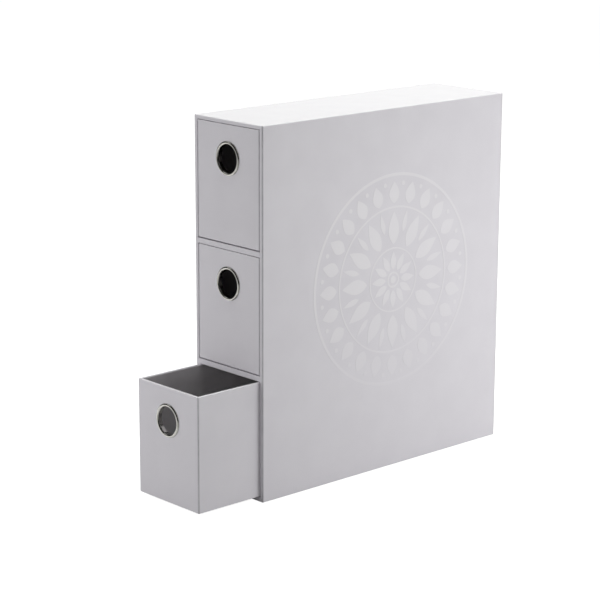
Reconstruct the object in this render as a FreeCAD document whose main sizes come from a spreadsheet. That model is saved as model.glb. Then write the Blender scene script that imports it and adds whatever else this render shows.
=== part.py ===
import FreeCAD, Part

import math
import os
import re

import Sketcher

# A storage box for playing cards, made the way rigid set-up boxes are made: greyboard panels
# covered in white paper, with three open drawers one above the other. Each drawer is lined
# with dark paper and has a metal finger ring in its front. The lowest drawer is pulled out.
#
# Millimetres. X runs across the narrow front, Y from the front to the back, Z up.
# The origin is the centre of the casing's underside.

# Driving sizes: alias, millimetres, meaning
DRIVING_SIZES = (
    ("drawer_width", 82.8, "outside width of a drawer"),
    ("drawer_height", 105.9, "outside height of a drawer"),
    ("drawer_length", 300.0, "outside length of a drawer, front to back"),
    ("pull_out", 70.6, "how far the lowest drawer stands out of the casing"),
    ("side_clearance", 0.5, "gap on each side of a drawer"),
    ("drop_clearance", 1.0, "gap under a drawer"),
    ("head_clearance", 0.5, "gap above a drawer"),
    ("rear_clearance", 1.1, "gap behind a closed drawer"),
    ("casing_board", 3.0, "board of the casing's sides, top and back"),
    ("base_board", 3.5, "board of the casing's base"),
    ("shelf_ply", 2.1, "one of the two plies of a shelf"),
    ("drawer_board", 2.0, "board of the drawers"),
    ("paper", 0.3, "wrapping and lining paper, with its glue"),
    ("edge_round", 0.9, "outer radius of a wrapped edge"),
    ("fold_round", 0.45, "radius where the paper folds over a mouth or a rim"),
    ("mouth_turn_in", 15.0, "depth of the wrap folded into the casing's mouth"),
    ("back_turn_in", 15.0, "width of the wrap folded on to the back"),
    ("lining_drop", 1.0, "how far a drawer's lining ends below its rim"),
    ("lining_step", 0.6, "height of the step where the lining climbs on to the turn-in"),
    ("sheet_inset", 2.0, "margin round the base sheet and the back sheet"),
    ("ring_drop", 29.9, "ring's centre below the drawer's rim"),
    ("ring_bore", 12.6, "inner radius of the finger ring"),
    ("flange_width", 2.9, "how far the ring's front flange reaches out from its bore"),
    ("ring_metal", 0.5, "sheet metal of the ring"),
    ("ring_play", 0.2, "gap round the ring's barrel in its hole"),
    ("ring_bend", 0.3, "inner radius of the ring's clinched bend"),
    ("clinch_width", 1.4, "flat width of the ring's clinched edge"),
    ("washer_rim", 1.7, "how far the washer shows round the clinched edge"),
    ("washer_metal", 0.6, "thickness of the washer"),
    ("washer_round", 0.25, "radius of the washer's rear edge"),
    ("washer_margin", 0.9, "gap between the washer and the lining's step above it"),
)

# Sizes that follow from the driving ones
DERIVED_SIZES = {
    "wall": "paper + casing_board + paper",
    "mouth_width": "drawer_width + 2 * side_clearance",
    "casing_width": "mouth_width + 2 * wall",
    "wrap_width": "casing_width - 2 * paper",
    "compartment_height": "drawer_height + drop_clearance + head_clearance",
    "shelf_height": "2 * shelf_ply + 2 * paper",
    "storey": "compartment_height + shelf_height",
    "board_foot": "2 * paper",
    "first_floor": "board_foot + base_board + paper",
    "ceiling": "first_floor + 3 * compartment_height + 2 * shelf_height",
    "casing_height": "ceiling + wall",
    "board_head": "casing_height - paper",
    "inner_depth": "drawer_length + rear_clearance + paper",
    "back_face": "inner_depth + casing_board",
    "wrap_depth": "back_face + paper",
    "casing_depth": "wrap_depth + paper",
    "half_depth": "casing_depth / 2",
    "under_wrap_round": "edge_round - paper",
    "box_width": "drawer_width - 2 * (paper + drawer_board)",
    "drawer_wall": "paper + drawer_board + paper",
    "board_inset": "paper + drawer_board",
    "box_back": "drawer_length - board_inset",
    "ring_height": "drawer_height - ring_drop",
    "turn_in_foot": "ring_height + washer_reach + washer_margin + lining_step",
    "ring_reach": "ring_bore + flange_width",
    "barrel_radius": "ring_bore + ring_metal",
    "bend_radius": "barrel_radius + ring_bend",
    "clinch_reach": "bend_radius + clinch_width",
    "washer_reach": "clinch_reach + washer_rim",
    "ring_hole": "barrel_radius + ring_play",
    "washer_back": "drawer_wall + washer_metal",
}

LEVELS = ("lower", "middle", "upper")

# Plane of a sketch: its origin plane, and whether its normal points along the positive axis
PLANES = {"XY": ("XY_Plane", True), "XZ": ("XZ_Plane", False), "YZ": ("YZ_Plane", True)}

# Sides of a bounding box: axis, and whether the side is the far one
SIDES = {
    "left": ("X", "Min"), "right": ("X", "Max"),
    "front": ("Y", "Min"), "back": ("Y", "Max"),
    "bottom": ("Z", "Min"), "top": ("Z", "Max"),
}

EVERY_SIDE = " ".join(SIDES)

TOUCH = 1e-4

# Ending of the label of a block that is cut out of a piece and isn't one itself
HOLLOW = "_hollow"

doc = FreeCAD.newDocument("card_storage_box")
sheet = doc.addObject("Spreadsheet::Sheet", "Sizes")
for row, (alias, millimetres, meaning) in enumerate(DRIVING_SIZES, start=1):
    sheet.set(f"A{row}", meaning)
    sheet.set(f"B{row}", str(millimetres))
    sheet.setAlias(f"B{row}", alias)
doc.recompute()

ALIASES = {alias for alias, millimetres, meaning in DRIVING_SIZES}


def sized(text):
    """Write an expression out in the sheet's own cells."""
    def cell(word):
        name = word.group()
        if name in DERIVED_SIZES:
            return "(" + sized(DERIVED_SIZES[name]) + ")"
        return "Sizes." + name if name in ALIASES else name
    return re.sub(r"[a-z_]+", cell, text)


def measure(text):
    return float(sheet.evalExpression(sized(text)))


def bind(item, **properties):
    for name, text in properties.items():
        item.setExpression(name.replace("__", "."), sized(text))


def new_body(label, place):
    """A sub-part whose frame stands at the place given by three expressions."""
    body = doc.addObject("PartDesign::Body", label)
    body.Label = label
    bind(body, **{"Placement__Base__" + axis: text for axis, text in zip("xyz", place)})
    return body


def new_sketch(body, plane, at="0"):
    """A sketch parallel to an origin plane, at a distance along the positive axis."""
    role, forward = PLANES[plane]
    support = [item for item in body.Origin.OriginFeatures if item.Role == role][0]
    sketch = body.newObject("Sketcher::SketchObject", body.Label + "_sketch")
    sketch.AttachmentSupport = (support, [""])
    sketch.MapMode = "FlatFace"
    bind(sketch, AttachmentOffset__Base__z=at if forward else f"-({at})")
    return sketch


def fix_coordinate(sketch, kind, line, text):
    """Hold the start of a line at a signed distance from the sketch's origin."""
    value = measure(text)
    if abs(value) < TOUCH:
        axis = -2 if kind == "DistanceX" else -1
        sketch.addConstraint(Sketcher.Constraint("PointOnObject", line, 1, axis))
        return
    ends = (-1, 1, line, 1) if value > 0 else (line, 1, -1, 1)
    index = sketch.addConstraint(Sketcher.Constraint(kind, *ends, abs(value)))
    sketch.setExpression(f"Constraints[{index}]", sized(text if value > 0 else f"-({text})"))


def add_rectangle(sketch, across, up):
    """A rectangle between signed expressions."""
    left, right = (measure(text) for text in across)
    low, high = (measure(text) for text in up)
    corners = [FreeCAD.Vector(x, y, 0) for x, y in ((left, low), (right, low), (right, high), (left, high))]
    lines = [sketch.addGeometry(Part.LineSegment(start, end))
             for start, end in zip(corners, corners[1:] + corners[:1])]
    for index, line in enumerate(lines):
        sketch.addConstraint(Sketcher.Constraint("Vertical" if index % 2 else "Horizontal", line))
        sketch.addConstraint(Sketcher.Constraint("Coincident", line, 2, lines[(index + 1) % 4], 1))
    fix_coordinate(sketch, "DistanceY", lines[0], up[0])
    fix_coordinate(sketch, "DistanceX", lines[1], across[1])
    fix_coordinate(sketch, "DistanceY", lines[2], up[1])
    fix_coordinate(sketch, "DistanceX", lines[3], across[0])


def add_circle(sketch, height, radius):
    """A circle centred above the sketch's origin."""
    centre = FreeCAD.Vector(0, measure(height), 0)
    circle = sketch.addGeometry(Part.Circle(centre, FreeCAD.Vector(0, 0, 1), measure(radius)))
    sketch.addConstraint(Sketcher.Constraint("PointOnObject", circle, 3, -2))
    if height == "0":
        sketch.addConstraint(Sketcher.Constraint("PointOnObject", circle, 3, -1))
    else:
        index = sketch.addConstraint(Sketcher.Constraint("DistanceY", -1, 1, circle, 3, centre.y))
        sketch.setExpression(f"Constraints[{index}]", sized(height))
    index = sketch.addConstraint(Sketcher.Constraint("Radius", circle, measure(radius)))
    sketch.setExpression(f"Constraints[{index}]", sized(radius))


def extrude(body, sketch, plane, start, end):
    """Add the sketch's outline between two distances along the plane's positive axis."""
    pad = body.newObject("PartDesign::Pad", body.Label + "_pad")
    pad.Profile = sketch
    pad.Reversed = not PLANES[plane][1]
    bind(pad, Length=f"({end}) - ({start})")
    doc.recompute()


def cut_away(body, sketch, plane, start, end):
    """Take the sketch's outline away between two distances along the plane's positive axis."""
    before = body.Shape.Volume
    pocket = body.newObject("PartDesign::Pocket", body.Label + "_pocket")
    pocket.Profile = sketch
    pocket.Reversed = PLANES[plane][1]
    bind(pocket, Length=f"({end}) - ({start})")
    doc.recompute()
    if body.Shape.Volume >= before:
        raise RuntimeError(f"{pocket.Label} takes nothing away")


def slab(body, plane, across, up, start, end):
    sketch = new_sketch(body, plane, start)
    add_rectangle(sketch, across, up)
    extrude(body, sketch, plane, start, end)


def recess(body, plane, across, up, start, end):
    sketch = new_sketch(body, plane, start)
    add_rectangle(sketch, across, up)
    cut_away(body, sketch, plane, start, end)


def tube(body, plane, outside, inside, start, end):
    """A straight tube between two nested rectangles, each given as its across and up spans."""
    sketch = new_sketch(body, plane, start)
    add_rectangle(sketch, *outside)
    add_rectangle(sketch, *inside)
    extrude(body, sketch, plane, start, end)


def bore(body, height, radius, start, end):
    """A round hole along Y."""
    sketch = new_sketch(body, "XZ", start)
    add_circle(sketch, height, radius)
    cut_away(body, sketch, "XZ", start, end)


def fillet(body, radius, wanted):
    """Round the piece's edges that pass a test."""
    feature = body.Tip
    edges = [f"Edge{number}" for number, edge in enumerate(feature.Shape.Edges, start=1) if wanted(edge)]
    rounding = body.newObject("PartDesign::Fillet", body.Label + "_rounding")
    rounding.Base = (feature, edges)
    bind(rounding, Radius=radius)
    doc.recompute()


def lies_at(edge, axis, level):
    box = edge.BoundBox
    return abs(getattr(box, axis + "Min") - level) < TOUCH and abs(getattr(box, axis + "Max") - level) < TOUCH


def round_outside(body, sides, radius):
    """Round the edges where two of the named sides of the piece's bounding box meet."""
    box = body.Tip.Shape.BoundBox
    levels = [(SIDES[side][0], getattr(box, "".join(SIDES[side]))) for side in sides.split()]
    fillet(body, radius, lambda edge: sum(lies_at(edge, axis, level) for axis, level in levels) > 1)


def round_level(body, axis, level, radius):
    """Round every edge that lies flat at one level of the piece's own frame."""
    fillet(body, radius, lambda edge: lies_at(edge, axis, measure(level)))


def hollow_out(body, across, along, up, sides, radius):
    """Take a block with rounded edges out of a piece. The block stands in the piece's own frame."""
    hollow = new_body(body.Label + HOLLOW, ("0", "0", "0"))
    slab(hollow, "XY", across, along, *up)
    round_outside(hollow, sides, radius)
    before = body.Shape.Volume
    cut = body.newObject("PartDesign::Boolean", body.Label + "_cut")
    cut.Type = "Cut"
    cut.setObjects([hollow])
    doc.recompute()
    if body.Shape.Volume >= before:
        raise RuntimeError(f"{hollow.Label} takes nothing away")


def span(width):
    """From side to side about the middle plane."""
    return f"-({width}) / 2", f"({width}) / 2"


CASING_PLACE = ("0", "-half_depth", "0")


def casing_boards():
    inner_width = "wrap_width - 2 * casing_board"
    height = ("board_foot", "board_head")
    for side, across in (
        ("left", ("-wrap_width / 2", "casing_board - wrap_width / 2")),
        ("right", ("wrap_width / 2 - casing_board", "wrap_width / 2")),
    ):
        body = new_body("casing_side_" + side, CASING_PLACE)
        slab(body, "XZ", across, height, "paper", "inner_depth")
        round_outside(body, side + " front top bottom", "under_wrap_round")

    body = new_body("casing_top", CASING_PLACE)
    slab(body, "XZ", span(inner_width), ("board_head - casing_board", "board_head"), "paper", "inner_depth")
    round_outside(body, "front top", "under_wrap_round")

    body = new_body("casing_base", CASING_PLACE)
    slab(body, "XZ", span(inner_width), ("board_foot", "board_foot + base_board"), "paper", "inner_depth")
    round_outside(body, "front bottom", "under_wrap_round")

    body = new_body("casing_back", CASING_PLACE)
    slab(body, "XZ", span("wrap_width"), height, "inner_depth", "back_face")
    round_outside(body, "left right top bottom back", "under_wrap_round")


def casing_wrap():
    """White paper round the boards, folded into the mouth and on to the back."""
    body = new_body("casing_wrap", CASING_PLACE)
    slab(body, "XZ", span("casing_width"), ("paper", "casing_height"), "0", "wrap_depth")
    round_outside(body, EVERY_SIDE, "edge_round")
    hollow_out(body, span("wrap_width"), ("paper", "back_face"), ("board_foot", "board_head"),
               EVERY_SIDE, "under_wrap_round")
    recess(body, "XZ", span("wrap_width - 2 * back_turn_in"),
           ("board_foot + back_turn_in", "board_head - back_turn_in"), "back_face", "wrap_depth")
    mouth = (span("mouth_width"), ("first_floor", "ceiling"))
    recess(body, "XZ", *mouth, "0", "paper")
    tube(body, "XZ", (span("mouth_width + 2 * paper"), ("first_floor - paper", "ceiling + paper")), mouth,
         "0", "mouth_turn_in")
    sides = [(axis, measure(level)) for axis, levels in zip("XZ", mouth) for level in levels]
    fillet(body, "fold_round", lambda edge: lies_at(edge, "Y", 0) and any(
        lies_at(edge, axis, level) for axis, level in sides))


def casing_sheets():
    """The sheets glued over the wrap's edges: one on the back, one underneath."""
    body = new_body("back_sheet", CASING_PLACE)
    window = "wrap_width - 2 * back_turn_in"
    slab(body, "XZ", span("casing_width - 2 * sheet_inset"),
         ("paper + sheet_inset", "casing_height - sheet_inset"), "wrap_depth", "casing_depth")
    slab(body, "XZ", span(window), ("board_foot + back_turn_in", "board_head - back_turn_in"),
         "back_face", "casing_depth")
    recess(body, "XZ", span(f"{window} - 2 * paper"),
           ("board_foot + back_turn_in + paper", "board_head - back_turn_in - paper"),
           "wrap_depth", "casing_depth")

    body = new_body("base_sheet", CASING_PLACE)
    slab(body, "XY", span("casing_width - 2 * sheet_inset"), ("sheet_inset", "casing_depth - sheet_inset"),
         "0", "paper")


def floor_of(level):
    return f"(first_floor + {LEVELS.index(level)} * storey)"


def shelf(level):
    """Two plies under one compartment, with a strip of white paper round their front edge."""
    underside = f"({floor_of(level)} - shelf_height)"
    plies = (("lower", f"{underside} + paper"), ("upper", f"{underside} + paper + shelf_ply"))
    for ply, foot in plies:
        body = new_body(f"shelf_under_{level}_{ply}_ply", CASING_PLACE)
        slab(body, "XZ", span("mouth_width"), (foot, f"{foot} + shelf_ply"), "paper", "inner_depth")

    body = new_body(f"shelf_under_{level}_edge_strip", CASING_PLACE)
    slab(body, "XZ", span("mouth_width"), (underside, floor_of(level)), "0", "mouth_turn_in")
    recess(body, "XZ", span("mouth_width"), (f"{underside} + paper", f"{floor_of(level)} - paper"),
           "paper", "mouth_turn_in")
    round_outside(body, "front top bottom", "fold_round")


def compartment_lining(level):
    body = new_body(f"compartment_lining_{level}", CASING_PLACE)
    floor = floor_of(level)
    slab(body, "XZ", span("mouth_width + 2 * paper"),
         (f"{floor} - paper", f"{floor} + compartment_height + paper"), "mouth_turn_in", "inner_depth")
    recess(body, "XZ", span("mouth_width"), (floor, f"{floor} + compartment_height"),
           "mouth_turn_in", "inner_depth - paper")


def drawer_boards(name, place):
    """Front, back, sides and base of one drawer. The walls stand round the base."""
    outer_width = "drawer_width - 2 * paper"
    height = ("paper", "drawer_height - paper")

    front_board = new_body(name + "_front", place)
    slab(front_board, "XZ", span(outer_width), height, "paper", "board_inset")
    round_outside(front_board, "left right bottom front", "under_wrap_round")
    bore(front_board, "ring_height", "ring_hole", "paper", "board_inset")

    back_board = new_body(name + "_back", place)
    slab(back_board, "XZ", span(outer_width), height, "box_back", "drawer_length - paper")
    round_outside(back_board, "left right bottom back", "under_wrap_round")

    for side, across in (
        ("left", (f"-({outer_width}) / 2", "-box_width / 2")),
        ("right", ("box_width / 2", f"({outer_width}) / 2")),
    ):
        body = new_body(f"{name}_side_{side}", place)
        slab(body, "XZ", across, height, "board_inset", "box_back")
        round_outside(body, side + " bottom", "under_wrap_round")

    base = new_body(name + "_base", place)
    slab(base, "XY", span("box_width"), ("board_inset", "box_back"), "paper", "board_inset")


def drawer_wrap(name, place):
    """White paper round a drawer, folded over the rim to the inside."""
    body = new_body(name + "_wrap", place)
    slab(body, "XY", span("drawer_width"), ("0", "drawer_length"), "0", "drawer_height")
    round_outside(body, "left right front back bottom", "edge_round")
    hollow_out(body, span("drawer_width - 2 * paper"), ("paper", "drawer_length - paper"),
               ("paper", "drawer_height - paper"), "left right front back bottom", "under_wrap_round")
    opening = (span("box_width - 2 * paper"), ("drawer_wall", "drawer_length - drawer_wall"))
    recess(body, "XY", *opening, "drawer_height - paper", "drawer_height")
    tube(body, "XY", (span("box_width"), ("board_inset", "box_back")), opening,
         "turn_in_foot", "drawer_height")
    round_level(body, "Z", "drawer_height", "fold_round")
    bore(body, "ring_height", "ring_hole", "0", "paper")


def drawer_lining(name, place):
    """Dark paper inside a drawer. Near the rim it climbs on to the folded-in wrap."""
    body = new_body(name + "_lining", place)
    lining_head = "drawer_height - lining_drop"
    slab(body, "XY", span("box_width"), ("board_inset", "box_back"), "board_inset", "turn_in_foot")
    slab(body, "XY", span("box_width - 2 * paper"), ("drawer_wall", "drawer_length - drawer_wall"),
         "board_inset", lining_head)
    recess(body, "XY", span("box_width - 4 * paper"),
           ("drawer_wall + paper", "drawer_length - drawer_wall - paper"), "board_inset + paper", lining_head)
    recess(body, "XY", span("box_width - 2 * paper"), ("drawer_wall", "drawer_length - drawer_wall"),
           "board_inset + paper", "turn_in_foot - lining_step")
    bore(body, "ring_height", "ring_hole", "board_inset", "drawer_wall")


def finger_ring(name, place):
    """A metal ring turned about Y: a half-round front flange, a barrel and a clinched rear edge."""
    body = new_body(name + "_finger_ring", place)
    sketch = new_sketch(body, "YZ")
    bore_radius, barrel, reach = (measure(text) for text in ("ring_bore", "barrel_radius", "ring_reach"))
    metal, bend, clinch = (measure(text) for text in ("ring_metal", "ring_bend", "clinch_reach"))
    bend_start = measure("washer_back - ring_bend")
    flange_middle = (bore_radius + reach) / 2
    flange_radius = (reach - bore_radius) / 2
    bend_middle = barrel + bend
    inner_face = bend_start + bend
    outer_face = inner_face + metal

    def line(y_start, z_start, y_end, z_end):
        return sketch.addGeometry(Part.LineSegment(
            FreeCAD.Vector(y_start, z_start, 0), FreeCAD.Vector(y_end, z_end, 0)))

    def arc(y_centre, z_centre, radius, start, end):
        circle = Part.Circle(FreeCAD.Vector(y_centre, z_centre, 0), FreeCAD.Vector(0, 0, 1), radius)
        return sketch.addGeometry(Part.ArcOfCircle(circle, start, end))

    right_angle = math.pi / 2
    bore_line = line(0, bore_radius, bend_start, bore_radius)
    outer_bend = arc(bend_start, bend_middle, bend + metal, -right_angle, 0)
    rear_face = line(outer_face, bend_middle, outer_face, clinch)
    clinch_edge = line(outer_face, clinch, inner_face, clinch)
    seat_face = line(inner_face, clinch, inner_face, bend_middle)
    inner_bend = arc(bend_start, bend_middle, bend, -right_angle, 0)
    barrel_line = line(bend_start, barrel, 0, barrel)
    inner_flange = arc(0, flange_middle, flange_radius - metal, right_angle, 3 * right_angle)
    rim_edge = line(0, reach - metal, 0, reach)
    outer_flange = arc(0, flange_middle, flange_radius, right_angle, 3 * right_angle)

    joins = (
        (bore_line, 2, outer_bend, 1), (outer_bend, 2, rear_face, 1), (rear_face, 2, clinch_edge, 1),
        (clinch_edge, 2, seat_face, 1), (seat_face, 2, inner_bend, 2), (inner_bend, 1, barrel_line, 1),
        (barrel_line, 2, inner_flange, 2), (inner_flange, 1, rim_edge, 1), (rim_edge, 2, outer_flange, 1),
        (outer_flange, 2, bore_line, 1), (outer_bend, 3, inner_bend, 3), (outer_flange, 3, inner_flange, 3),
    )
    for join in joins:
        sketch.addConstraint(Sketcher.Constraint("Coincident", *join))
    for level in (bore_line, clinch_edge, barrel_line):
        sketch.addConstraint(Sketcher.Constraint("Horizontal", level))
    for upright in (rear_face, seat_face, rim_edge):
        sketch.addConstraint(Sketcher.Constraint("Vertical", upright))
    for item, point in ((bore_line, 1), (barrel_line, 2), (rim_edge, 1), (outer_flange, 3)):
        sketch.addConstraint(Sketcher.Constraint("PointOnObject", item, point, -2))
    sketch.addConstraint(Sketcher.Constraint("Vertical", bore_line, 2, outer_bend, 3))
    sketch.addConstraint(Sketcher.Constraint("Vertical", barrel_line, 1, outer_bend, 3))
    sketch.addConstraint(Sketcher.Constraint("Horizontal", rear_face, 1, outer_bend, 3))
    sketch.addConstraint(Sketcher.Constraint("Horizontal", seat_face, 2, outer_bend, 3))
    sizes = (
        ("DistanceX", (-1, 1, bore_line, 2), "washer_back - ring_bend"),
        ("DistanceY", (-1, 1, bore_line, 1), "ring_bore"),
        ("DistanceY", (bore_line, 1, barrel_line, 2), "ring_metal"),
        ("DistanceY", (-1, 1, rim_edge, 2), "ring_reach"),
        ("DistanceY", (-1, 1, rear_face, 2), "clinch_reach"),
        ("DistanceY", (barrel_line, 1, outer_bend, 3), "ring_bend"),
    )
    for kind, ends, text in sizes:
        index = sketch.addConstraint(Sketcher.Constraint(kind, *ends, measure(text)))
        sketch.setExpression(f"Constraints[{index}]", sized(text))

    turned = body.newObject("PartDesign::Revolution", body.Label + "_turned")
    turned.Profile = sketch
    turned.ReferenceAxis = (sketch, ["H_Axis"])
    turned.Angle = 360
    doc.recompute()


def ring_washer(name, place):
    """A flat metal ring against the lining, under the clinched edge."""
    body = new_body(name + "_ring_washer", place)
    sketch = new_sketch(body, "XZ", "drawer_wall")
    add_circle(sketch, "0", "washer_reach")
    add_circle(sketch, "0", "bend_radius + ring_play")
    extrude(body, sketch, "XZ", "drawer_wall", "washer_back")
    rear, reach = measure("washer_back"), measure("washer_reach")
    fillet(body, "washer_round", lambda edge: lies_at(edge, "Y", rear) and edge.BoundBox.XMax > reach - TOUCH)


def drawer(level):
    name = "drawer_" + level
    front_face = "-half_depth - pull_out" if level == "lower" else "-half_depth"
    foot = f"{floor_of(level)} + drop_clearance"
    place = ("0", front_face, foot)
    ring_place = ("0", front_face, f"{foot} + ring_height")
    drawer_boards(name, place)
    drawer_wrap(name, place)
    drawer_lining(name, place)
    finger_ring(name, ring_place)
    ring_washer(name, ring_place)


def check_and_export():
    doc.recompute()
    broken = [item.Name for item in doc.Objects if {"Invalid", "Error"} & set(item.State)]
    if broken:
        raise RuntimeError("failed objects: " + ", ".join(broken))
    os.makedirs("parts", exist_ok=True)
    pieces = [item for item in doc.Objects
              if item.TypeId == "PartDesign::Body" and not item.Label.endswith(HOLLOW)]
    for body in pieces:
        shape = body.Shape
        if shape.isNull() or not shape.isValid() or len(shape.Solids) != 1:
            raise RuntimeError(f"{body.Label} is not one valid solid")
        shape.exportStep(os.path.join("parts", body.Label + ".step"))
    print(f"{len(pieces)} parts")


casing_boards()
casing_wrap()
casing_sheets()
for level in LEVELS[1:]:
    shelf(level)
for level in LEVELS:
    compartment_lining(level)
    drawer(level)
check_and_export()
for name in ("casing_width", "casing_depth", "casing_height"):
    print(name, round(measure(name), 3))
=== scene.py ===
"""Looks of a card storage box with three drawers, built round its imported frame.

Metres and degrees. X runs across the narrow front, Y from the front to the back, Z up.
Sizes in millimetres are multiplied by MM where they are written.
"""
import math

import bmesh
import bpy
from mathutils import Matrix, Vector


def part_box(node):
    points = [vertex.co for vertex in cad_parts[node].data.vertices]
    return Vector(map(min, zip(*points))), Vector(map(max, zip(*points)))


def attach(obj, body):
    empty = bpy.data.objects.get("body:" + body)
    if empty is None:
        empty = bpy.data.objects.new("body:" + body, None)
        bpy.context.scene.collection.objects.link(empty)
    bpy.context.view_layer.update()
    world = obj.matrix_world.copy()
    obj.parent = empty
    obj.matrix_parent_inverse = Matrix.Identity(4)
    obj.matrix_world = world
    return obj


MM = 0.001
LEVELS = ("lower", "middle", "upper")
FULL_TURN = 2 * math.pi
WHITE = (1, 1, 1, 1)

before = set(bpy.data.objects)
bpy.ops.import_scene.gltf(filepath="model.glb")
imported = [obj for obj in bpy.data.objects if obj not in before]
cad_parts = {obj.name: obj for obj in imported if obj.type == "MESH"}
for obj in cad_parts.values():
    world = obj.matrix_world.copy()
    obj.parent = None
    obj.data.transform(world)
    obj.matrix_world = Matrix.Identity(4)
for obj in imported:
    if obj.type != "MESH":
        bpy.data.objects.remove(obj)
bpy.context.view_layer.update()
scene = bpy.context.scene


def new_piece(name, mesh, material):
    """An object in the scene with the given shape and one material."""
    data = bpy.data.meshes.new(name)
    mesh.to_mesh(data)
    mesh.free()
    data.materials.append(material)
    piece = bpy.data.objects.new(name, data)
    scene.collection.objects.link(piece)
    return piece


# Small helpers for shader nodes

def connect(node, index, value):
    """Give an input a fixed value, or the output of another node."""
    if isinstance(value, bpy.types.NodeSocket):
        node.id_data.links.new(value, node.inputs[index])
    else:
        node.inputs[index].default_value = value


def new_material(name):
    """A material with its Principled shader, and a function that adds nodes to it."""
    material = bpy.data.materials.new(name)
    material.use_nodes = True
    nodes = material.node_tree.nodes

    def add(kind, **settings):
        node = nodes.new(kind)
        for key, value in settings.items():
            if key in node.inputs:
                connect(node, key, value)
            else:
                setattr(node, key, value)
        return node

    return material, nodes["Principled BSDF"], add


def object_place(add):
    """Places in the object's own coordinates, which are those of the frame at rest."""
    return add("ShaderNodeTexCoord").outputs["Object"]


def noise(add, place, scale, detail=3.0, roughness=0.5):
    node = add("ShaderNodeTexNoise", Vector=place, Scale=scale, Detail=detail, Roughness=roughness)
    return node.outputs["Fac"]


def remap(add, value, low, high, to_low, to_high):
    """Stretch the range low to high on to another range, and hold the ends."""
    node = add("ShaderNodeMapRange", Value=value)
    for label, number in (("From Min", low), ("From Max", high), ("To Min", to_low), ("To Max", to_high)):
        connect(node, label, number)
    return node.outputs["Result"]


def maths(add, operation, first, second=0.0):
    node = add("ShaderNodeMath", operation=operation)
    connect(node, 0, first)
    connect(node, 1, second)
    return node.outputs[0]


def mix_colour(add, factor, first, second):
    """The first colour where the factor is 0, the second where it is 1."""
    node = add("ShaderNodeMix", data_type="RGBA")
    factor_input, first_input, second_input = 0, 6, 7
    connect(node, factor_input, factor)
    connect(node, first_input, first)
    connect(node, second_input, second)
    return node.outputs[2]


def emboss(add, shader, height, strength, distance):
    """Raise the surface by a height, as light sees it."""
    bump = add("ShaderNodeBump", Height=height, Strength=strength, Distance=distance)
    connect(shader, "Normal", bump.outputs["Normal"])


# Materials

PAPER_WHITE = (0.798, 0.774, 0.822, 1)
PAPER_SHADE = (0.768, 0.743, 0.792, 1)
PAPER_GLOSS = 0.46
# Painted shade: the grey that the upright folds of the wraps are darkened towards
FOLD_SHADE_GREY = (0.560, 0.545, 0.580, 1)
FOLD_NEAR, FOLD_FAR = 0.5 * MM, 1.7 * MM
LINING_GREY = (0.590, 0.572, 0.590, 1)
LINING_DARK = (0.535, 0.517, 0.535, 1)
BOARD_GREY = (0.420, 0.400, 0.370, 1)
BOARD_FLECK = (0.300, 0.285, 0.262, 1)
NICKEL = (0.600, 0.586, 0.556, 1)
NICKEL_WORN = (0.520, 0.506, 0.478, 1)
VARNISH_WHITE = (0.866, 0.844, 0.878, 1)


def upright_folds(add, place, box):
    """One on the four upright folds of a box, fading to nothing a short way from them. It places the
    painted shade on the folds.
    """
    apart = add("ShaderNodeSeparateXYZ", Vector=place)
    away = []
    for index, axis in enumerate("XY"):
        low, high = box[0][index], box[1][index]
        from_middle = maths(add, "ABSOLUTE", maths(add, "SUBTRACT", apart.outputs[axis], (low + high) / 2))
        away.append(maths(add, "SUBTRACT", (high - low) / 2, from_middle))
    return remap(add, maths(add, "MAXIMUM", *away), FOLD_NEAR, FOLD_FAR, to_low=1.0, to_high=0.0)


def paper_material(name, box=None):
    """White coated paper: a faint cloudy tone, fine fibres, a low satin sheen and painted shade along the
    upright folds.
    """
    material, shader, add = new_material(name)
    place = object_place(add)
    cloud = noise(add, place, scale=38.0, detail=4.0)
    fibre = noise(add, place, scale=1400.0, detail=2.0, roughness=0.6)
    tone = remap(add, cloud, low=0.35, high=0.65, to_low=0.0, to_high=0.55)
    colour = mix_colour(add, tone, PAPER_WHITE, PAPER_SHADE)
    if box:
        # Painted shade: the upright folds are darkened towards the fold grey, in uneven patches
        patches = noise(add, place, scale=120.0)
        uneven = remap(add, patches, low=0.35, high=0.65, to_low=0.75, to_high=1.0)
        painted_fold_shade = maths(add, "MULTIPLY", upright_folds(add, place, box), uneven)
        colour = mix_colour(add, painted_fold_shade, colour, FOLD_SHADE_GREY)
    gloss = remap(add, cloud, low=0.3, high=0.7, to_low=PAPER_GLOSS, to_high=PAPER_GLOSS + 0.09)
    connect(shader, "Base Color", colour)
    connect(shader, "Roughness", gloss)
    connect(shader, "Specular IOR Level", 0.24)
    emboss(add, shader, fibre, strength=0.12, distance=0.05 * MM)
    return material


def lining_material():
    """Grey uncoated paper with a visible tooth. It looks dark because little light reaches it."""
    material, shader, add = new_material("dark_grey_paper")
    place = object_place(add)
    cloud = noise(add, place, scale=55.0, detail=5.0)
    tooth = noise(add, place, scale=900.0, roughness=0.65)
    tone = remap(add, cloud, low=0.35, high=0.65, to_low=0.0, to_high=1.0)
    connect(shader, "Base Color", mix_colour(add, tone, LINING_GREY, LINING_DARK))
    connect(shader, "Roughness", 0.78)
    connect(shader, "Specular IOR Level", 0.25)
    emboss(add, shader, tooth, strength=0.3, distance=0.08 * MM)
    return material


def board_material():
    """Greyboard: pressed waste fibre with darker flecks."""
    material, shader, add = new_material("grey_board")
    fleck = noise(add, object_place(add), scale=700.0, detail=4.0, roughness=0.7)
    tone = remap(add, fleck, low=0.48, high=0.62, to_low=0.0, to_high=1.0)
    connect(shader, "Base Color", mix_colour(add, tone, BOARD_GREY, BOARD_FLECK))
    connect(shader, "Roughness", 0.9)
    emboss(add, shader, fleck, strength=0.4, distance=0.1 * MM)
    return material


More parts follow.
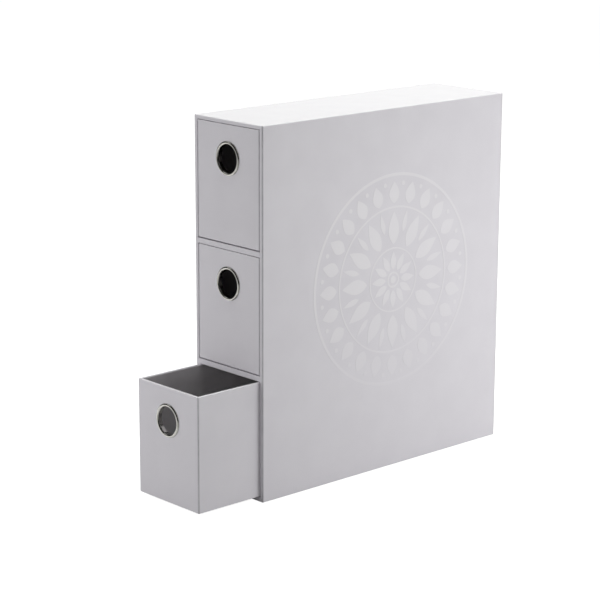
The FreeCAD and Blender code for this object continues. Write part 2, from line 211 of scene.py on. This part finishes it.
def nickel_material():
    """Nickel-plated steel, drawn and tumbled: bright, with soft spots of wear."""
    material, shader, add = new_material("nickel_plate")
    spots = noise(add, object_place(add), scale=420.0)
    wear = remap(add, spots, low=0.4, high=0.65, to_low=0.0, to_high=1.0)
    connect(shader, "Metallic", 1.0)
    connect(shader, "Base Color", mix_colour(add, wear, NICKEL, NICKEL_WORN))
    connect(shader, "Roughness", remap(add, spots, low=0.35, high=0.65, to_low=0.11, to_high=0.19))
    emboss(add, shader, spots, strength=0.15, distance=0.03 * MM)
    return material


def varnish_material():
    """A pale satin varnish printed on the paper. It fades towards its foot and towards the back."""
    material, shader, add = new_material("pale_satin_varnish")
    place = object_place(add)
    spot = add("ShaderNodeSeparateXYZ", Vector=place)
    upward = remap(add, spot.outputs["Z"], low=80 * MM, high=165 * MM, to_low=0.2, to_high=1.0)
    backward = remap(add, spot.outputs["Y"], low=-60 * MM, high=100 * MM, to_low=1.0, to_high=0.6)
    worn = remap(add, noise(add, place, scale=30.0), low=0.3, high=0.7, to_low=0.75, to_high=1.0)
    strength = maths(add, "MULTIPLY", maths(add, "MULTIPLY", upward, backward), worn)
    connect(shader, "Base Color", mix_colour(add, strength, PAPER_WHITE, VARNISH_WHITE))
    connect(shader, "Roughness", 0.44)
    connect(shader, "Specular IOR Level", 0.26)
    return material


# Every node takes the looks of its material slot. The wraps get painted shade along their own upright
# folds

LOOKS = {
    "white_paper": paper_material("coated_white_paper"),
    "dark_lining": lining_material(),
    "greyboard": board_material(),
    "ring_metal": nickel_material(),
}
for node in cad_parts.values():
    for place, material in enumerate(node.data.materials):
        node.material_slots[place].material = LOOKS[material.name.split(".")[0]]
for name in ["casing"] + [f"drawer_{level}" for level in LEVELS]:
    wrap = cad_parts[name + "_wrap"]
    wrap.material_slots[0].material = paper_material(name + "_wrap_paper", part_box(name + "_wrap"))


# Side ornament: a plain rosette of rings, petals and beads, slightly paler than the paper.
# Its lengths are in units of ORNAMENT_SCALE

ORNAMENT_CENTRE = (8 * MM, 180 * MM)
ORNAMENT_SCALE = 1.08 * MM
ORNAMENT_HEIGHT = 0.10 * MM
ORNAMENT_SINK = 0.02 * MM
CENTRE_DISC = 3.2
BANDS = ((5.5, 7.0), (27.0, 28.2), (62.5, 64.0), (90.0, 92.5))
INNER_PETALS = 12
SMALL_PETAL = {"inner": 9, "outer": 25, "width": 6.5}
LARGE_PETAL = {"inner": 31, "outer": 60, "width": 12.5}
PETAL_BETWEEN = {"inner": 42, "outer": 60.5, "width": 5.0}
OUTER_PETALS = 24
OUTER_PETAL = {"inner": 66.5, "outer": 85.5, "width": 12.0}
BEAD, BEAD_REACH = 1.9, 83.5
PETAL_BULGE = 0.8


def petal(turn, inner, outer, width, steps=14):
    """A pointed leaf between two radii about the rosette's centre, as points in the side's plane."""
    points = []
    for side in (1, -1):
        for step in range(steps):
            share = step / steps if side > 0 else 1 - step / steps
            reach = inner + (outer - inner) * share
            half = width / 2 * math.sin(math.pi * share ** PETAL_BULGE)
            points.append((reach * math.cos(turn) - side * half * math.sin(turn),
                           reach * math.sin(turn) + side * half * math.cos(turn)))
    return points


def disc(radius, centre=(0, 0), steps=20):
    return [(centre[0] + radius * math.cos(FULL_TURN * step / steps),
             centre[1] + radius * math.sin(FULL_TURN * step / steps)) for step in range(steps)]


def bridge(mesh, first, second):
    """Quads between two closed loops of equally many points."""
    for index in range(len(first)):
        following = (index + 1) % len(first)
        mesh.faces.new((first[index], first[following], second[following], second[index]))


def raise_outline(mesh, points, lift):
    """A thin closed plate with the given outline."""
    low = [mesh.verts.new(lift(point, 0)) for point in points]
    high = [mesh.verts.new(lift(point, 1)) for point in points]
    mesh.faces.new(high)
    mesh.faces.new(low[::-1])
    bridge(mesh, low, high)


def raise_band(mesh, inner, outer, lift, steps=144):
    """A thin closed ring between two radii."""
    loops = []
    for radius, level in ((inner, 0), (outer, 0), (outer, 1), (inner, 1)):
        loops.append([mesh.verts.new(lift(point, level)) for point in disc(radius, steps=steps)])
    for first, second in zip(loops, loops[1:] + loops[:1]):
        bridge(mesh, first, second)


def rosette():
    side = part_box("casing_wrap")[1].x
    middle_y, middle_z = ORNAMENT_CENTRE
    mesh = bmesh.new()

    def lift(point, level):
        return Vector((side + (ORNAMENT_HEIGHT if level else -ORNAMENT_SINK),
                       middle_y + point[0] * ORNAMENT_SCALE,
                       middle_z + point[1] * ORNAMENT_SCALE))

    for inner, outer in BANDS:
        raise_band(mesh, inner, outer, lift)
    raise_outline(mesh, disc(CENTRE_DISC), lift)
    half_step = FULL_TURN / INNER_PETALS / 2
    for index in range(INNER_PETALS):
        turn = FULL_TURN * index / INNER_PETALS
        raise_outline(mesh, petal(turn, **SMALL_PETAL), lift)
        raise_outline(mesh, petal(turn, **LARGE_PETAL), lift)
        raise_outline(mesh, petal(turn + half_step, **PETAL_BETWEEN), lift)
    half_step = FULL_TURN / OUTER_PETALS / 2
    for index in range(OUTER_PETALS):
        turn = FULL_TURN * index / OUTER_PETALS
        raise_outline(mesh, petal(turn, **OUTER_PETAL), lift)
        between = turn + half_step
        bead_centre = (BEAD_REACH * math.cos(between), BEAD_REACH * math.sin(between))
        raise_outline(mesh, disc(BEAD, bead_centre), lift)
    bmesh.ops.recalc_face_normals(mesh, faces=mesh.faces)
    piece = new_piece("side_rosette", mesh, varnish_material())
    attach(piece, "casing")


rosette()


# Stage: floor, surroundings and soft lights

FLOOR_REACH = 6.0
FLOOR_GREY = (0.36, 0.36, 0.36, 1)
FLOOR_GLOW = 0.98
FLOOR_SHINE = 0.92
FILL = 0.10
DARK_ROOM = 0.03


def by_ray(nodes, links, looks, cases):
    """Other looks for some kinds of ray. The last case that fits a ray is the one it sees."""
    path = nodes.new("ShaderNodeLightPath")
    for kind, other in cases:
        choice = nodes.new("ShaderNodeMixShader")
        links.new(path.outputs[kind], choice.inputs[0])
        links.new(looks, choice.inputs[1])
        links.new(other, choice.inputs[2])
        looks = choice.outputs[0]
    return looks


def floor_material():
    """A grey floor that glows white to the camera and shines from front left in the metal."""
    material, shader, add = new_material("pale_floor")
    nodes, links = material.node_tree.nodes, material.node_tree.links
    connect(shader, "Base Color", FLOOR_GREY)
    connect(shader, "Roughness", 0.9)
    connect(shader, "Specular IOR Level", 0.0)
    spot = add("ShaderNodeSeparateXYZ", Vector=object_place(add))
    leftward = remap(add, spot.outputs["X"], low=-0.15, high=0.15, to_low=1.0, to_high=0.0)
    backward = remap(add, spot.outputs["Y"], low=-0.5, high=-0.25, to_low=0.55, to_high=1.0)
    shine = maths(add, "MULTIPLY", maths(add, "MULTIPLY", leftward, backward), FLOOR_SHINE)
    cases = []
    for kind, strength in (("Is Camera Ray", FLOOR_GLOW), ("Is Glossy Ray", shine)):
        glow = add("ShaderNodeEmission", Color=WHITE, Strength=strength)
        brighter = add("ShaderNodeAddShader")
        links.new(shader.outputs[0], brighter.inputs[0])
        links.new(glow.outputs[0], brighter.inputs[1])
        cases.append((kind, brighter.outputs[0]))
    looks = by_ray(nodes, links, shader.outputs[0], cases)
    links.new(looks, nodes["Material Output"].inputs["Surface"])
    return material


def floor():
    """A pale floor that looks as white as the surroundings, with a faint shadow."""
    mesh = bmesh.new()
    bmesh.ops.create_grid(mesh, x_segments=1, y_segments=1, size=FLOOR_REACH)
    piece = new_piece("floor", mesh, floor_material())


def surroundings():
    """White to the camera, a dark room in the metal, and a dim even fill for everything else."""
    world = bpy.data.worlds.new("surroundings")
    scene.world = world
    world.use_nodes = True
    nodes, links = world.node_tree.nodes, world.node_tree.links

    def background(node, strength):
        connect(node, "Color", WHITE)
        connect(node, "Strength", strength)
        return node.outputs[0]

    fill = background(nodes["Background"], FILL)
    room = background(nodes.new("ShaderNodeBackground"), DARK_ROOM)
    white = background(nodes.new("ShaderNodeBackground"), 1.0)
    looks = by_ray(nodes, links, fill, (("Is Glossy Ray", room), ("Is Camera Ray", white)))
    links.new(looks, nodes["World Output"].inputs["Surface"])


LIGHT_CENTRE = Vector((0.0, -0.03, 0.17))
NEUTRAL = (1, 1, 1)
FROM_ABOVE = (0.990, 1.020, 0.960)


def direction(azimuth, elevation):
    """Away from the object, in radians. Azimuth 0 is straight in front of the drawers."""
    return Vector((math.sin(azimuth) * math.cos(elevation),
                   -math.cos(azimuth) * math.cos(elevation),
                   math.sin(elevation)))


def soft_light(name, azimuth, elevation, distance, size, radiance, colour=NEUTRAL, in_metal=True):
    """A rectangular soft box that faces the object. The metal reflects it unless told otherwise."""
    data = bpy.data.lights.new(name, "AREA")
    data.shape = "RECTANGLE"
    data.size, data.size_y = size
    data.energy = radiance * math.pi * size[0] * size[1]
    data.color = colour
    lamp = bpy.data.objects.new(name, data)
    scene.collection.objects.link(lamp)
    away = direction(math.radians(azimuth), math.radians(elevation))
    lamp.location = LIGHT_CENTRE + distance * away
    lamp.rotation_euler = (-away).to_track_quat("-Z", "Y").to_euler()
    lamp.visible_camera = False
    lamp.visible_glossy = in_metal


floor()
surroundings()
# Name, azimuth, elevation, distance, size and radiance of each light
soft_light("overhead", 0, 90, 1.5, (0.7, 0.9), 8.0, FROM_ABOVE, in_metal=False)
soft_light("high_back", 180, 50, 1.6, (1.4, 1.0), 2.9, FROM_ABOVE, in_metal=False)
soft_light("high_right", 92, 50, 1.6, (0.8, 0.8), 0.5)
soft_light("front_left", -42, 12, 1.7, (1.7, 1.2), 0.34, in_metal=False)
soft_light("low_front_left", -25, 2, 0.9, (0.6, 0.32), 3.05, in_metal=False)
soft_light("front_right", 27, 14, 1.5, (0.4, 0.4), 2.4, in_metal=False)
soft_light("floor_right", 118, -4, 1.0, (0.6, 0.18), 3.7)
soft_light("low_back_right", 125, 0, 0.8, (0.5, 0.3), 2.5)
soft_light("floor_back_right", 130, -4, 1.0, (0.6, 0.18), 3.4)
soft_light("low_back", 140, 0, 0.8, (0.5, 0.3), 0.5)
soft_light("glint_above", -48, 42, 1.6, (0.7, 0.7), 0.75)


# Camera, solved from the photograph's straight edges

VIEW_CENTRE = Vector((-0.0325, -0.0369, 0.1537))
VIEW_DISTANCE = 1.9345
VIEW_AZIMUTH, VIEW_ELEVATION, VIEW_ROLL = (math.radians(angle) for angle in (47.521, 13.848, 0.178))
LENS = 123.672
SENSOR_WIDTH = 36.0
CLIP_NEAR, CLIP_FAR = 0.05, 50.0


def camera():
    data = bpy.data.cameras.new("camera")
    data.sensor_width = SENSOR_WIDTH
    data.lens = LENS
    data.clip_start, data.clip_end = CLIP_NEAR, CLIP_FAR
    view = bpy.data.objects.new("camera", data)
    scene.collection.objects.link(view)
    away = direction(VIEW_AZIMUTH, VIEW_ELEVATION)
    view.location = VIEW_CENTRE + VIEW_DISTANCE * away
    level = (-away).to_track_quat("-Z", "Y").to_matrix()
    view.rotation_euler = (level @ Matrix.Rotation(VIEW_ROLL, 3, "Z")).to_euler()
    scene.camera = view


camera()
scene.view_settings.view_transform = "Standard"
scene.view_settings.look = "None"
